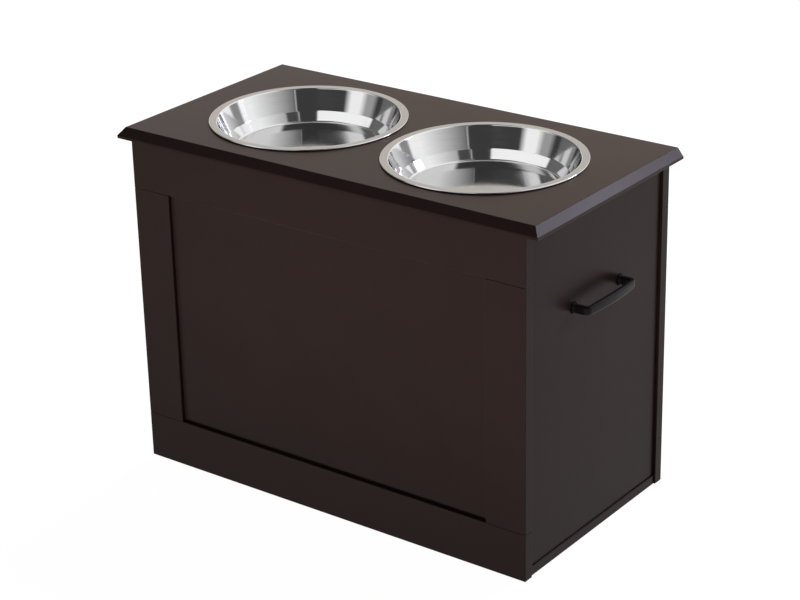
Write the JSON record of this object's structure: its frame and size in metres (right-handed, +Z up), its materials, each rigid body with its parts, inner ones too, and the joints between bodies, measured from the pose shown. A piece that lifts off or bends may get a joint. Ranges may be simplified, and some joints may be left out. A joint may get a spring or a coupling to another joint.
{
  "type": "raised dog feeder with storage",
  "caption": "Raised feeder for a large dog: shallow steel bowls drop into a hinged, bevelled lid over a framed storage cabinet with a bow handle on each end.",
  "frame": {"origin": "middle of the cabinet's footprint, on the floor", "axes": "+X along the cabinet towards its right end seen from the front, +Y towards the hinged back, +Z up"},
  "size_m": [0.6058, 0.3113, 0.4362],
  "materials": {
    "painted_board": "dark brown satin paint on board",
    "bowl_steel": "polished and finely brushed stainless steel",
    "handle_black": "black satin cast metal",
    "hinge_steel": "plated steel",
    "screw_steel": "zinc-plated steel",
    "cam_zinc": "die-cast zinc alloy",
    "dowel_wood": "bare hardwood"
  },
  "bodies": {
    "cabinet": {"front_top_rail": "painted_board", "front_bottom_rail": "painted_board", "front_left_stile": "painted_board", "front_right_stile": "painted_board", "front_panel": "painted_board", "back_top_rail": "painted_board", "back_bottom_rail": "painted_board", "back_left_stile": "painted_board", "back_right_stile": "painted_board", "back_panel": "painted_board", "left_end_panel": "painted_board", "right_end_panel": "painted_board", "bottom_board": "painted_board", "left_handle": "handle_black", "right_handle": "handle_black", "hinge_body_leaves": "hinge_steel", "hinge_pins": "hinge_steel", "hinge_body_screws": "screw_steel", "handle_screws": "screw_steel", "bottom_screws": "screw_steel", "cam_bolts": "screw_steel", "cam_locks": "cam_zinc", "stile_dowels": "dowel_wood", "bottom_dowels": "dowel_wood"},
    "lid": {"lid_board": "painted_board", "hinge_lid_leaves": "hinge_steel", "hinge_lid_screws": "screw_steel"},
    "bowl_left": {"bowl_left": "bowl_steel"},
    "bowl_right": {"bowl_right": "bowl_steel"}
  },
  "joints": [
    {"name": "lid_hinge", "type": "hinge", "parent": "cabinet", "child": "lid", "pos_m": [0, 0.1533, 0.42015], "axis": [-1, 0, 0], "range_deg": [0, 100]},
    {"name": "bowl_left_lift", "type": "slide", "parent": "lid", "child": "bowl_left", "axis": [0, 0, 1], "range_m": [0, 0.1]},
    {"name": "bowl_right_lift", "type": "slide", "parent": "lid", "child": "bowl_right", "axis": [0, 0, 1], "range_m": [0, 0.1]}
  ]
}
